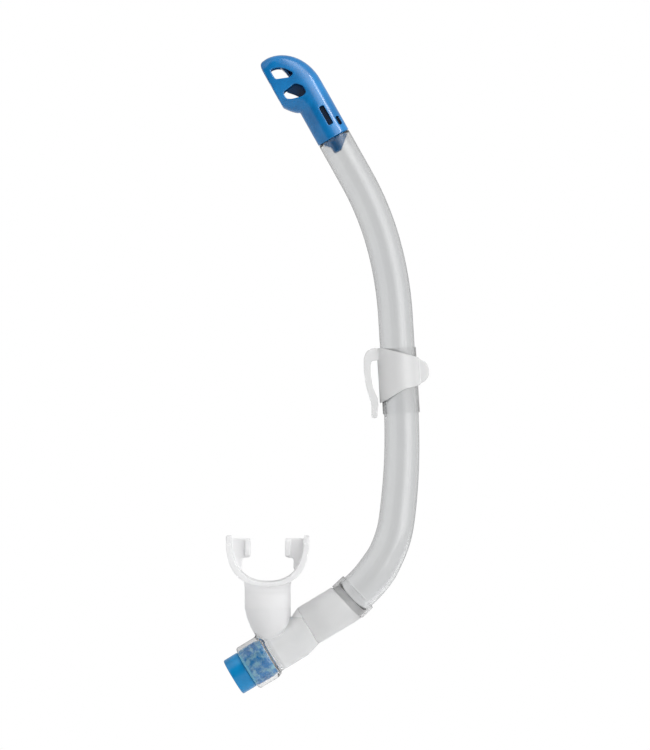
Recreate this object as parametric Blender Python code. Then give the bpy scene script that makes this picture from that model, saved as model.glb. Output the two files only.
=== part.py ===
"""Snorkel tube: clear curved barrel, splash hood, mask-strap keeper, and a lower unit with
a silicone mouthpiece and a purge valve.  Lengths below are millimetres, angles degrees."""
import math

import bpy
import bmesh
from mathutils import Vector

MM = 0.001
GAP = 0.3                       # clearance between neighbouring pieces

# Barrel centreline, from the hood joint down to the tail, as (length, turn) pieces in the XZ plane
BARREL_TOP = (-28.0, 161.7)     # x and z of the joint with the hood
BARREL_TILT = 29.3              # lean of the top end away from vertical
CENTRELINE = (
    (33.0, 0.0),                # straight below the hood
    (50.0, -14.8),              # upper bend
    (45.0, -11.0),              # easier bend above the keeper
    (58.0, 0.0),                # straight run that the keeper slides on
    (76.5, -11.0),              # long easy bend below the keeper
    (52.0, -38.9),              # tight bend towards the mouthpiece
    (9.0, 0.0),                 # straight tail, held by the swivel collar
)
BARREL_RADII = ((2.3, 11.2), (127.0, 11.45), (190.0, 11.45), (262.0, 11.9), (286.0, 12.15),
                (299.0, 12.85), (323.5, 12.85))      # (distance along the centreline, outer radius)
BARREL_WALL = 1.7

# Splash hood, in its own frame: +Z up the barrel's axis, -X towards the air intake
TUBE_R = 11.3
HOOD_FOOT = -2.0                # where the hood's skirt meets the barrel's end face
HOOD_WALL = 1.6
CROWN_CENTRE = (-14.0, 36.0)    # the crown of the hood is a quarter ellipse about this point
CROWN_AXES = (25.2, 29.0)
INTAKE_X = -19.3                # plane of the intake face
INTAKE_LIP = 31.0               # lower end of the intake face
HOOD_THROAT = 23.0              # where the front of the hood leaves the tube's line
HOOD_SHOULDER = 25.0            # where the back of the hood starts to curve into the crown
HOOD_SQUARENESS = 0.9           # how much squarer than an ellipse the intake end is
SPIGOT_R = 9.2                  # tongue that plugs into the barrel
SPIGOT_END = -11.4
SPIGOT_WALL = 1.2
WINDOW_UPPER = ((-14.9, 57.0), (-10.0, 56.0), (-6.0, 53.0), (-2.3, 47.5), (-6.1, 46.4), (-14.9, 49.8))
WINDOW_LOWER = ((-14.8, 39.8), (-9.6, 40.4), (-5.1, 41.4), (-1.2, 37.4), (-1.2, 32.4), (-4.6, 31.4),
                (-12.0, 33.4), (-14.8, 35.2))
DRAIN_SLOTS = ((0.8, 4.4, 6.0, 19.7), (7.2, 9.3, 3.0, 9.2))     # x low, x high, z low, z high
INTAKE_SLOTS = ((37.0, 46.5), (50.0, 60.0))                      # z low, z high on the intake face
INTAKE_HALF_WIDTH = 6.5
SPIGOT_TRIMS = (((-12, -12.4), (-4.0, -12.4), (-5.0, -6.5), (-9.5, -3.2), (-12, -3.2)),
                ((12, -5.0), (8.0, -5.0), (4.4, -8.2), (-0.6, -12.4), (12, -12.4)))
HOOD_TIP_CUT = ((-22.0, 60.6), (-19.3, 60.6), (-18.6, 63.0), (-17.0, 64.4), (-15.4, 64.9), (-15.4, 67.0),
                (-22.0, 67.0))
WEB_OUTLINE = ((-8.4, 56.0), (-6.7, 50.7), (-6.0, 46.0), (-9.6, 42.0), (-12.4, 39.2), (-8.6, 35.0),
               (-5.8, 31.0), (-1.5, 22.0), (-0.6, 1.0), (9.25, 1.0), (9.25, 36.0), (6.0, 47.0), (0.0, 54.0))
WEB_HALF = 0.8
VANE_OUTLINE = ((-8.4, 56.0), (-6.7, 50.7), (-6.0, 46.0), (-4.5, 46.0), (-5.2, 51.0), (-6.8, 56.0))
VANE_HALF = 6.8

# Keeper, in a frame on the barrel's axis: +Z up the barrel, +X away from the mask strap
KEEPER_STATION = 169.8          # distance along the centreline of the keeper's origin
SLEEVE_R = (11.75, 12.2)
SLEEVE_SPAN = (-22.5, 20.5)
BAND_R = (12.5, 13.75)
BAND_SPAN = (-15.0, 21.3)
# the band is wide beside the hook and narrows towards the tab
BAND_TRIM_UPPER = ((-20.0, 24.4), (-10.0, 21.2), (12.6, 13.8), (20.0, 11.4), (20.0, 30.0), (-20.0, 30.0))
BAND_TRIM_LOWER = ((-20.0, -18.6), (-10.9, -13.9), (2.8, -6.8), (20.0, -3.4), (20.0, -30.0), (-20.0, -30.0))
HOOK_OUTLINE = ((-11.5, 21.2), (-16.7, 21.6), (-20.4, 19.8), (-22.5, 15.9), (-23.0, 7.3), (-22.2, -3.0),
                (-20.7, -9.7), (-19.3, -15.9), (-19.6, -20.9), (-20.0, -24.4), (-15.8, -25.0),
                (-15.9, -20.5), (-14.7, -15.7), (-15.0, -11.6), (-16.5, -8.0), (-17.9, -3.2),
                (-18.6, 4.1), (-18.4, 10.5), (-17.4, 13.2), (-13.2, 13.0))
HOOK_DEPTH = 11.0               # width of the hook across the strap's run
TAB_DEPTH = 3.2
TAB_CENTRE = (11.5, 4.5)
TAB_R = 8.6

# Lower unit: sleeve and collar around the barrel's tail, tee body, mouthpiece, purge valve
COLLAR_R = (13.15, 14.35)
COLLAR_SPAN = (-5.7, 4.4)       # along the tail, measured from the barrel's end face
PURGE_ORIGIN = (-93.3, -196.3)  # x and z of the centre of the purge cap's outer face
PURGE_TILT = 58.8               # lean of the purge axis from vertical
OUTLET_OFFSET = -3.5            # the outlet sits this far above the purge axis
SLEEVE_FOOT = 60.0              # where the sleeve ends, along the purge axis
SLEEVE_OUTER = 13.8
SLEEVE_BORE = 12.0
SLEEVE_NECK_BORE = (11.2, 11.4) # inside the collar, at its mouth and at the step
ARM_R = 13.0
CHAMBER_R = 15.5
CHAMBER_BORE = 13.7
CHAMBER_SPAN = (11.2, 29.7)
OUTLET_TIP = 72.0               # end of the spigot inside the sleeve
OUTLET_BORE = 9.9
PORT_X = -70.5                  # the mouthpiece's own axis is the vertical line at this x
PORT_TOP = -150.3               # parting plane between the tee's neck and the mouthpiece
PORT_BORE = 7.5
PORT_SPIGOT_R = 8.6
PORT_SPIGOT_SPAN = (-160.0, -144.3)
PORT_BORE_SPAN = (-183.0, -142.3)
# rows of (z, centre, half width in X, half width in Y): the neck leans over the arm as it comes down
NECK_ROWS = ((-181.0, 2.0, 8.0, 8.0), (-168.0, 3.2, 11.8, 9.4), (-163.0, 2.0, 13.2, 10.6),
             (-157.0, 0.8, 14.4, 11.8), (PORT_TOP, 0.0, 15.2, 12.2))
MOUTH_TOP = -133.0              # plane of the flange's inner face at the middle
MOUTH_TIP = -102.8              # tips of the flange
# rows of (z, half width in X, half depth in Y): the duct flares into the flange at its top
DUCT_ROWS = ((PORT_TOP + GAP + 6.0, 15.2, 11.4), (MOUTH_TOP - 8.0, 15.2, 10.9), (MOUTH_TOP - 4.6, 15.2, 11.4),
             (MOUTH_TOP - 2.2, 15.4, 12.7), (MOUTH_TOP - 0.6, 15.8, 13.8))
FLANGE_HALF_HEIGHT = 14.0
FLANGE_OUTER = (27.5, 32.8, 2.6)            # half width, depth, squareness of the U
FLANGE_INNER = (24.0, 30.2, 2.4)
FLANGE_TRIM = 10.0              # beyond this Y the flange's tips are cut back
LUG_PLATE = ((11.4, -104.4), (24.6, -104.4), (25.2, -112.0), (23.0, -122.0), (20.5, -126.5),
             (17.0, -125.0), (17.0, -117.6), (12.4, -117.0), (11.4, -116.0))
LUG_PLATE_HALF = 2.2
LUG_RIDGE = ((11.4, -105.2), (15.0, -105.2), (15.0, -116.2), (11.4, -116.2))
LUG_RIDGE_HALF = 5.0

CAP_R = 12.75
CAP_LENGTH = 10.6
CAP_WALL = 1.6
CAP_SLOTS = ((-7.4, 6.2), (-3.6, 8.6), (3.6, 8.6), (7.4, 6.2))  # x of each vent slot and its half length
CAP_SLOT_HALF = 1.1
HOUSING_SPAN = (10.9, 27.7)
HOUSING_BORE = 11.0
HOUSING_R = 12.4
HOUSING_RING_R = 13.2
HOUSING_RINGS = (15.6, 19.4, 23.2)
HOUSING_RING_WIDTH = 1.2
SEAT_R = 10.7
SEAT_SPAN = (13.2, 14.7)
SEAT_PORT_CIRCLE = 5.8
SEAT_PORT_R = 2.2
SEAT_STEM_HOLE = 1.25
FLAP_SPAN = (12.0, 12.9)


# ---------------------------------------------------------------- helpers

def clear_scene():
    for obj in list(bpy.data.objects):
        bpy.data.objects.remove(obj, do_unlink=True)


def make_material(name, colour, roughness, transmission=0.0):
    mat = bpy.data.materials.new(name)
    mat.use_nodes = True
    shader = mat.node_tree.nodes["Principled BSDF"]
    shader.inputs["Base Color"].default_value = (*colour, 1.0)
    shader.inputs["Roughness"].default_value = roughness
    shader.inputs["Metallic"].default_value = 0.0
    shader.inputs["Transmission Weight"].default_value = transmission
    mat.diffuse_color = (*colour, 1.0)
    return mat


def finish_mesh(name, bm, mat=None):
    """Turn a bmesh in millimetres into a named, outward-facing, smooth-shaded object."""
    bmesh.ops.recalc_face_normals(bm, faces=bm.faces)
    bmesh.ops.scale(bm, vec=(MM, MM, MM), verts=bm.verts)
    mesh = bpy.data.meshes.new(name)
    bm.to_mesh(mesh)
    bm.free()
    mesh.shade_smooth()
    mesh.set_sharp_from_angle(angle=math.radians(35))
    obj = bpy.data.objects.new(name, mesh)
    bpy.context.scene.collection.objects.link(obj)
    if mat:
        mesh.materials.append(mat)
    return obj


def oval_ring(centre, x_axis, y_axis, rx, ry, sides, power=2.0):
    """Points of a superellipse about centre; power 2 is an ellipse, more is squarer."""
    ring = []
    for i in range(sides):
        a = 2 * math.pi * i / sides
        c, s = math.cos(a), math.sin(a)
        x = math.copysign(abs(c) ** (2 / power), c) * rx
        y = math.copysign(abs(s) ** (2 / power), s) * ry
        ring.append(Vector(centre) + Vector(x_axis) * x + Vector(y_axis) * y)
    return ring


def loft(name, rings, mat=None, closed=False):
    """Skin a list of equal rings. A closed loft joins the last ring to the first, as a tube wall."""
    bm = bmesh.new()
    loops = [[bm.verts.new(p) for p in ring] for ring in rings]
    pairs = list(zip(loops, loops[1:]))
    if closed:
        pairs.append((loops[-1], loops[0]))
    for low, high in pairs:
        for i in range(len(low)):
            j = (i + 1) % len(low)
            bm.faces.new((low[i], low[j], high[j], high[i]))
    if not closed:
        bm.faces.new(loops[0])
        bm.faces.new(loops[-1])
    return finish_mesh(name, bm, mat)


def lathe(name, profile, sides, mat=None, closed=True):
    """Turn (radius, z) points about local Z. A closed profile makes a ring, an open one a solid."""
    rings = [oval_ring((0, 0, z), (1, 0, 0), (0, 1, 0), r, r, sides) for r, z in profile]
    return loft(name, rings, mat, closed)


def prism(name, outline, y_low, y_high, mat=None):
    """Extrude a closed (x, z) outline along Y."""
    bm = bmesh.new()
    face = bm.faces.new([bm.verts.new((x, y_low, z)) for x, z in outline])
    moved = bmesh.ops.extrude_face_region(bm, geom=[face])["geom"]
    verts = [v for v in moved if isinstance(v, bmesh.types.BMVert)]
    bmesh.ops.translate(bm, verts=verts, vec=(0, y_high - y_low, 0))
    return finish_mesh(name, bm, mat)


def box_outline(x0, x1, z0, z1):
    return ((x0, z0), (x1, z0), (x1, z1), (x0, z1))


def rounded(outline, radius, steps=3):
    """Round each corner of an outline with a short arc-like curve."""
    pts = [Vector((x, z)) for x, z in outline]
    result = []
    for i, corner in enumerate(pts):
        before, after = pts[i - 1], pts[(i + 1) % len(pts)]
        reach = min(radius, (before - corner).length * 0.45, (after - corner).length * 0.45)
        start = corner + (before - corner).normalized() * reach
        end = corner + (after - corner).normalized() * reach
        for k in range(steps + 1):
            t = k / steps
            p = start * (1 - t) ** 2 + corner * 2 * t * (1 - t) + end * t * t
            result.append((p.x, p.y))
    return result


def combine(target, tool, operation):
    """Add a Boolean modifier to target and keep its tool as a hidden wire guide."""
    mod = target.modifiers.new(tool.name, "BOOLEAN")
    mod.operation = operation
    mod.solver = "EXACT"
    mod.object = tool
    tool.hide_render = True
    tool.display_type = "WIRE"
    tool.parent = target


def place(obj, x, z, tilt):
    """Put an object in the XZ plane, its local +Z leaning by tilt degrees towards +X."""
    obj.location = (x * MM, 0.0, z * MM)
    obj.rotation_euler = (0.0, math.radians(tilt), 0.0)


def attach(child, parent):
    """Parent child to parent without moving it."""
    bpy.context.view_layer.update()
    child.parent = parent
    child.matrix_parent_inverse = parent.matrix_world.inverted()


def pivot(name, x, z, tilt):
    """An empty whose local +Z is a joint's axis."""
    empty = bpy.data.objects.new(name, None)
    empty.empty_display_size = 0.01
    bpy.context.scene.collection.objects.link(empty)
    place(empty, x, z, tilt)
    return empty


# ---------------------------------------------------------------- barrel

def along_barrel(distance):
    """Point (x, z) on the centreline and the lean from vertical there, in radians."""
    x, z = BARREL_TOP
    lean = math.radians(BARREL_TILT)
    left = distance
    last = len(CENTRELINE) - 1
    for i, (length, turn) in enumerate(CENTRELINE):
        run = left if i == last else min(left, length)
        bend = math.radians(turn) * run / length
        chord = run if abs(bend) < 1e-9 else run * math.sin(bend / 2) / (bend / 2)
        x += chord * math.sin(lean + bend / 2)
        z -= chord * math.cos(lean + bend / 2)
        lean += bend
        left -= run
        if left <= 0:
            break
    return x, z, lean


def barrel_length():
    return sum(length for length, _ in CENTRELINE)


def barrel_radius(distance):
    table = BARREL_RADII
    for (s0, r0), (s1, r1) in zip(table, table[1:]):
        if distance <= s1:
            t = max(0.0, (distance - s0) / (s1 - s0))
            return r0 + (r1 - r0) * t
    return table[-1][1]


def barrel_stations():
    """Distances along the centreline: ring spacing follows how sharply each piece bends."""
    stations = [BARREL_RADII[0][0]]
    start = 0.0
    for length, turn in CENTRELINE:
        count = max(1, math.ceil(abs(turn) / 4.5))
        stations += [start + length * k / count for k in range(1, count + 1)]
        start += length
    stations += [s for s, _ in BARREL_RADII[1:-1] if min(abs(s - t) for t in stations) > 2.0]
    return sorted(stations)


def barrel_ring(distance, radius, sides):
    x, z, lean = along_barrel(distance)
    return oval_ring((x, 0, z), (math.cos(lean), 0, math.sin(lean)), (0, 1, 0), radius, radius, sides)


def build_barrel(mat):
    sides = 24
    stations = barrel_stations()
    outer = [barrel_ring(s, barrel_radius(s), sides) for s in stations]
    inner = [barrel_ring(s, barrel_radius(s) - BARREL_WALL, sides) for s in reversed(stations)]
    return loft("barrel", outer + inner, mat, closed=True)


# ---------------------------------------------------------------- splash hood

def crown_point(angle, inset=0.0):
    a = math.radians(angle)
    return (CROWN_CENTRE[0] + (CROWN_AXES[0] - inset) * math.cos(a),
            CROWN_CENTRE[1] + (CROWN_AXES[1] - inset) * math.sin(a))


def hood_sections(inset, face_x, foot):
    """(front point, back point) pairs that fan from the tube's end round to the intake face."""
    r = TUBE_R - inset
    lip = (face_x, INTAKE_LIP + inset)
    throat = HOOD_THROAT + 0.6 * inset
    fronts = [(-r, foot), (-r, throat)]
    backs = [(r, foot), (r, HOOD_SHOULDER)]
    angles = (0, 18, 36, 54, 72, 88)
    for k, angle in enumerate(angles):
        t = (k + 1) / (len(angles) + 1)
        fronts.append((-r + (face_x + r) * t ** 0.8, throat + (lip[1] - throat) * t ** 1.2))
        backs.append(crown_point(angle, inset))
    fronts.append(lip)
    angle = math.degrees(math.acos((face_x - CROWN_CENTRE[0]) / (CROWN_AXES[0] - inset)))
    backs.append(crown_point(angle, inset))
    return list(zip(fronts, backs))


def hood_loft(name, inset, face_x, foot, mat=None):
    rings = []
    sections = hood_sections(inset, face_x, foot)
    for k, (front, back) in enumerate(sections):
        f, b = Vector((front[0], 0, front[1])), Vector((back[0], 0, back[1]))
        across = (b - f) / 2
        squareness = 2.0 + HOOD_SQUARENESS * max(0, k - 2) / (len(sections) - 3)
        rings.append(oval_ring((f + b) / 2, across.normalized(), (0, 1, 0), across.length,
                               TUBE_R - inset, 24, squareness))
    return loft(name, rings, mat)


def build_hood(mat):
    """Hollow hood with side windows, drain slots, intake slots and a tongue into the barrel."""
    hood = hood_loft("splash_hood", 0.0, INTAKE_X, HOOD_FOOT, mat)
    spigot = lathe("hood_spigot", ((SPIGOT_R, SPIGOT_END), (SPIGOT_R, HOOD_FOOT + 3.0)), 24, closed=False)
    combine(hood, spigot, "UNION")
    combine(hood, hood_loft("hood_cavity", HOOD_WALL, INTAKE_X + 2.0, HOOD_FOOT + 1.8), "DIFFERENCE")
    bore_r = SPIGOT_R - SPIGOT_WALL
    bore = lathe("hood_bore", ((bore_r, SPIGOT_END - 2), (bore_r, HOOD_FOOT + 6)), 24, closed=False)
    combine(hood, bore, "DIFFERENCE")
    # the spigot is trimmed to a tongue on each side below a short full ring, and the hood's tip is rounded
    for k, outline in enumerate(SPIGOT_TRIMS + (HOOD_TIP_CUT,)):
        combine(hood, prism(f"hood_trim_{k}", outline, -12, 12), "DIFFERENCE")
    for name, outline in (("hood_window_upper", WINDOW_UPPER), ("hood_window_lower", WINDOW_LOWER)):
        combine(hood, prism(name, rounded(outline, 1.6), -15, 15), "DIFFERENCE")
    for k, slot in enumerate(DRAIN_SLOTS):
        combine(hood, prism(f"hood_drain_{k}", rounded(box_outline(*slot), 1.2), -15, 15), "DIFFERENCE")
    for k, (z0, z1) in enumerate(INTAKE_SLOTS):
        tool = prism(f"hood_intake_{k}", box_outline(INTAKE_X - 2, INTAKE_X + 3.5, z0, z1),
                     -INTAKE_HALF_WIDTH, INTAKE_HALF_WIDTH)
        combine(hood, tool, "DIFFERENCE")
    place(hood, *BARREL_TOP, -BARREL_TILT)
    return hood


def build_deflector(mat):
    """Splitter web on the centre plane with one cross vane: it stops spray falling down the bore."""
    deflector = prism("splash_deflector", WEB_OUTLINE, -WEB_HALF, WEB_HALF, mat)
    combine(deflector, prism("deflector_vane", VANE_OUTLINE, -VANE_HALF, VANE_HALF), "UNION")
    place(deflector, *BARREL_TOP, -BARREL_TILT)
    return deflector


# ---------------------------------------------------------------- keeper

def build_keeper(sleeve_mat, clip_mat):
    x, z, lean = along_barrel(KEEPER_STATION)
    tilt = -math.degrees(lean)
    carriage = pivot("keeper_pivot", x, z, tilt)
    r0, r1 = SLEEVE_R
    z0, z1 = SLEEVE_SPAN
    sleeve = lathe("keeper_sleeve", ((r1, z0), (r1, z1), (r0, z1), (r0, z0)), 32, sleeve_mat)
    place(sleeve, x, z, tilt)
    clip = build_clip(clip_mat)
    place(clip, x, z, tilt)
    attach(sleeve, carriage)
    attach(clip, carriage)
    return sleeve, clip


def build_clip(mat):
    """Band around the sleeve, J hook that the mask strap snaps into, and a thumb tab."""
    (r0, r1), (z0, z1) = BAND_R, BAND_SPAN
    clip = lathe("keeper_clip", ((r1, z0), (r1, z1), (r0, z1), (r0, z0)), 32, mat)
    combine(clip, prism("band_trim_upper", BAND_TRIM_UPPER, -20, 20), "DIFFERENCE")
    combine(clip, prism("band_trim_lower", BAND_TRIM_LOWER, -20, 20), "DIFFERENCE")
    combine(clip, prism("clip_hook", HOOK_OUTLINE, -HOOK_DEPTH / 2, HOOK_DEPTH / 2), "UNION")
    tab = [(TAB_CENTRE[0] + TAB_R * math.cos(a), TAB_CENTRE[1] + TAB_R * math.sin(a))
           for a in (2 * math.pi * k / 24 for k in range(24))]
    combine(clip, prism("clip_tab", tab, -TAB_DEPTH / 2, TAB_DEPTH / 2), "UNION")
    bore = lathe("clip_bore", ((r0, z0 - 15), (r0, z1 + 5)), 32, closed=False)
    combine(clip, bore, "DIFFERENCE")
    return clip


# ---------------------------------------------------------------- lower unit

def purge_point(s, p):
    """World (x, z) of the point s along the purge axis and p below it."""
    a = math.radians(PURGE_TILT)
    return (PURGE_ORIGIN[0] + s * math.sin(a) + p * math.cos(a),
            PURGE_ORIGIN[1] + s * math.cos(a) - p * math.sin(a))


def sleeve_line():
    """Centres and leans of the flexible sleeve, from the barrel's end to the tee's outlet."""
    x, z, lean = along_barrel(barrel_length())
    start = Vector((x, z))
    leave = Vector((math.sin(lean), -math.cos(lean)))
    a = math.radians(PURGE_TILT)
    arrive = Vector((-math.sin(a), -math.cos(a)))
    foot = Vector(purge_point(SLEEVE_FOOT, OUTLET_OFFSET))
    # the straight run of the sleeve and the barrel's tail meet at one corner, rounded to an arc
    cross = leave.x * arrive.y - leave.y * arrive.x
    reach = ((foot - start).x * arrive.y - (foot - start).y * arrive.x) / cross
    corner = start + leave * reach
    bend_end = corner + arrive * reach
    line = []
    for k in range(5):
        u = k / 4
        p = start * (1 - u) ** 2 + corner * 2 * u * (1 - u) + bend_end * u * u
        d = (corner - start) * (1 - u) + (bend_end - corner) * u
        line.append((p, d.normalized()))
    line += [(bend_end.lerp(foot, k / 4), arrive) for k in range(1, 5)]
    return line


def cross_ring(point, direction, radius, sides):
    """Ring square to a direction in the XZ plane."""
    across = (-direction.y, 0, direction.x)
    return oval_ring((point.x, 0, point.y), across, (0, 1, 0), radius, radius, sides)


def build_sleeve(mat):
    """Flexible silicone tube: its head sits in the collar, its foot grips the tee's spigot."""
    sides = 24
    line = sleeve_line()
    start, leave = line[0]
    head = start + leave * GAP
    step = start + leave * (COLLAR_SPAN[1] + GAP)
    outer = [cross_ring(head, leave, COLLAR_R[0] - GAP, sides),
             cross_ring(step, leave, COLLAR_R[0] - GAP, sides),
             cross_ring(step + leave * 0.05, leave, SLEEVE_OUTER, sides)]
    body = [(p, d) for p, d in line if (p - start).dot(leave) > COLLAR_SPAN[1] + 2.0]
    outer += [cross_ring(p, d, SLEEVE_OUTER, sides) for p, d in body]
    inner = [cross_ring(p, d, SLEEVE_BORE, sides) for p, d in reversed(body)]
    mouth_bore, step_bore = SLEEVE_NECK_BORE
    inner += [cross_ring(step, leave, step_bore, sides), cross_ring(head, leave, mouth_bore, sides)]
    return loft("lower_sleeve", outer + inner, mat, closed=True)


def build_collar(mat):
    x, z, lean = along_barrel(barrel_length())
    r0, r1 = COLLAR_R
    z0, z1 = -COLLAR_SPAN[1], -COLLAR_SPAN[0]
    profile = ((r1 - 0.5, z0), (r1, z0 + 0.5), (r1, z1 - 0.5), (r1 - 0.5, z1), (r0, z1), (r0, z0))
    collar = lathe("swivel_collar", profile, 24, mat)
    place(collar, x, z, -math.degrees(lean))
    return collar


def tee_rings(profile, sides):
    """Rings of the tee body in the purge frame, from (s, centre offset, radius) rows."""
    return [oval_ring((p, 0, s), (1, 0, 0), (0, 1, 0), r, r, sides) for s, p, r in profile]


def level_ring(z, x, rx, ry, power=2.0):
    """Ring of the mouthpiece port: level, about the vertical line at x."""
    return oval_ring((x, 0, z), (1, 0, 0), (0, 1, 0), rx, ry, 28, power)


def build_tee(mat):
    """Clear body: purge chamber, arm, neck for the mouthpiece, offset spigot for the sleeve."""
    c0, c1 = CHAMBER_SPAN
    foot, offset, spigot_r = SLEEVE_FOOT - GAP, OUTLET_OFFSET, SLEEVE_BORE - GAP
    outside = ((c0, 0, CHAMBER_R - 0.8), (c0 + 1.2, 0, CHAMBER_R), (c1 - 4.0, 0, CHAMBER_R),
               (c1 - 1.2, 0, CHAMBER_R - 1.1), (c1, 0, ARM_R), (50.0, 0, ARM_R),
               (54.0, offset * 0.35, ARM_R + 0.2), (foot, offset, SLEEVE_OUTER),
               (foot, offset, spigot_r), (OUTLET_TIP, offset, spigot_r))
    inside = ((c0 - 2, 0, CHAMBER_BORE), (c1 - 1.7, 0, CHAMBER_BORE), (c1 - 1.7, 0, ARM_R - 1.0),
              (c1 + 0.5, 0, ARM_R - 2.0), (48.0, 0, ARM_R - 2.2), (56.0, offset * 0.8, OUTLET_BORE),
              (OUTLET_TIP + 2, offset, OUTLET_BORE))
    tee = loft("tee_body", tee_rings(outside, 28), mat)
    place(tee, *PURGE_ORIGIN, PURGE_TILT)
    hollow = loft("tee_hollow", tee_rings(inside, 28))
    place(hollow, *PURGE_ORIGIN, PURGE_TILT)
    neck = loft("tee_neck", [level_ring(z, PORT_X + cx, rx, ry) for z, cx, rx, ry in NECK_ROWS])
    port = loft("tee_port", [level_ring(z, PORT_X, PORT_SPIGOT_R, PORT_SPIGOT_R) for z in PORT_SPIGOT_SPAN])
    bore = loft("tee_port_bore", [level_ring(z, PORT_X, PORT_BORE, PORT_BORE) for z in PORT_BORE_SPAN])
    for tool, operation in ((neck, "UNION"), (port, "UNION"), (hollow, "DIFFERENCE"), (bore, "DIFFERENCE")):
        combine(tee, tool, operation)
        bpy.context.view_layer.update()
        tool.matrix_parent_inverse = tee.matrix_world.inverted()
    return tee


def u_curve(half_width, depth, squareness, steps):
    """Half a superellipse that opens upwards from the tips of the flange."""
    points = []
    for k in range(steps + 1):
        a = math.pi * k / steps
        x = -math.copysign(abs(math.cos(a)) ** (2 / squareness), math.cos(a)) * half_width
        points.append((x, MOUTH_TIP - depth * math.sin(a) ** (2 / squareness)))
    return points


def build_mouthpiece(mat):
    """Silicone duct, curved lip flange and two bite lugs, in a frame on the port's own axis."""
    foot, squarish = PORT_TOP + GAP, 2.3
    _, _, neck_width, neck_depth = NECK_ROWS[-1]
    rings = [level_ring(foot, 0, neck_width, neck_depth)]
    rings += [level_ring(z, 0, rx, ry, squarish) for z, rx, ry in DUCT_ROWS]
    mouth = loft("mouthpiece", rings, mat)
    outline = u_curve(*FLANGE_OUTER, 20) + u_curve(*FLANGE_INNER, 20)[::-1]
    combine(mouth, prism("mouth_flange", outline, -FLANGE_HALF_HEIGHT, FLANGE_HALF_HEIGHT), "UNION")
    for side, label in ((-1, "left"), (1, "right")):
        for part, outline, half in (("plate", LUG_PLATE, LUG_PLATE_HALF),
                                    ("ridge", LUG_RIDGE, LUG_RIDGE_HALF)):
            tool = prism(f"lug_{part}_{label}", [(side * x, z) for x, z in outline], -half, half)
            combine(mouth, tool, "UNION")
    # the flange is lower at its near and far edges than at the lugs
    trim = box_outline(-30.0, 30.0, MOUTH_TIP - 5.0, MOUTH_TIP + 1.0)
    for label, y_low in (("near", -FLANGE_TRIM - 6.0), ("far", FLANGE_TRIM)):
        combine(mouth, prism(f"flange_trim_{label}", trim, y_low, y_low + 6.0), "DIFFERENCE")
    socket = PORT_SPIGOT_R + GAP
    passage = [level_ring(foot - 1, 0, socket, socket), level_ring(PORT_TOP + 6.6, 0, socket, socket),
               level_ring(PORT_TOP + 10, 0, 12.4, 8.2, squarish),
               level_ring(MOUTH_TOP + 4, 0, 12.8, 8.0, squarish)]
    combine(mouth, loft("mouth_duct", passage), "DIFFERENCE")
    place(mouth, PORT_X, 0.0, 0.0)
    return mouth


# ---------------------------------------------------------------- purge valve

def build_cap(mat):
    """Slotted cap over the purge valve; its end face is at the purge frame's origin."""
    r, depth = CAP_R, CAP_LENGTH
    profile = ((r - 0.7, 0.0), (r, 0.7), (r, depth - 0.4), (r - 0.4, depth))
    cap = lathe("purge_cap", profile, 32, mat, closed=False)
    cavity = lathe("cap_cavity", ((r - CAP_WALL, 1.8), (r - CAP_WALL, depth + 2)), 32, closed=False)
    combine(cap, cavity, "DIFFERENCE")
    for k, (x, half) in enumerate(CAP_SLOTS):
        slot = box_outline(x - CAP_SLOT_HALF, x + CAP_SLOT_HALF, -2.0, 4.0)
        combine(cap, prism(f"cap_slot_{k}", slot, -half, half), "DIFFERENCE")
    return cap


def build_housing(mat):
    """Blue insert with raised rings, seen through the clear chamber."""
    (z0, z1), lip = HOUSING_SPAN, CHAMBER_BORE - GAP
    profile = [(lip, z0), (lip, z0 + 1.6), (HOUSING_R, z0 + 1.6)]
    for low in HOUSING_RINGS:
        high = low + HOUSING_RING_WIDTH
        profile += [(HOUSING_R, low), (HOUSING_RING_R, low), (HOUSING_RING_R, high), (HOUSING_R, high)]
    profile += [(HOUSING_R, z1 - 1.4), (HOUSING_R - 0.6, z1), (HOUSING_BORE, z1), (HOUSING_BORE, z0)]
    return lathe("purge_housing", profile, 32, mat)


def build_seat(mat):
    """Plate with six ports and a hole for the diaphragm's stem."""
    z0, z1 = SEAT_SPAN
    seat = lathe("purge_seat", ((SEAT_R, z0), (SEAT_R, z1)), 32, mat, closed=False)
    centre = lathe("seat_centre", ((SEAT_STEM_HOLE, z0 - 1), (SEAT_STEM_HOLE, z1 + 1)), 12, closed=False)
    combine(seat, centre, "DIFFERENCE")
    for k in range(6):
        a = 2 * math.pi * k / 6
        x, y, r = SEAT_PORT_CIRCLE * math.cos(a), SEAT_PORT_CIRCLE * math.sin(a), SEAT_PORT_R
        rings = [oval_ring((x, y, z), (1, 0, 0), (0, 1, 0), r, r, 12) for z in (z0 - 1, z1 + 1)]
        combine(seat, loft(f"seat_port_{k}", rings), "DIFFERENCE")
    return seat


def build_flap(mat):
    """Silicone disc that covers the seat's ports, on a barbed stem."""
    z0, z1 = FLAP_SPAN
    # disc, then the stem up through the seat, then the barb that keeps it there
    profile = ((9.3, z0), (9.6, z0 + 0.3), (9.6, z1), (0.9, z1), (0.9, 16.3), (1.9, 16.5), (0.9, 18.2))
    return lathe("purge_diaphragm", profile, 28, mat, closed=False)


# ---------------------------------------------------------------- assembly

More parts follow.
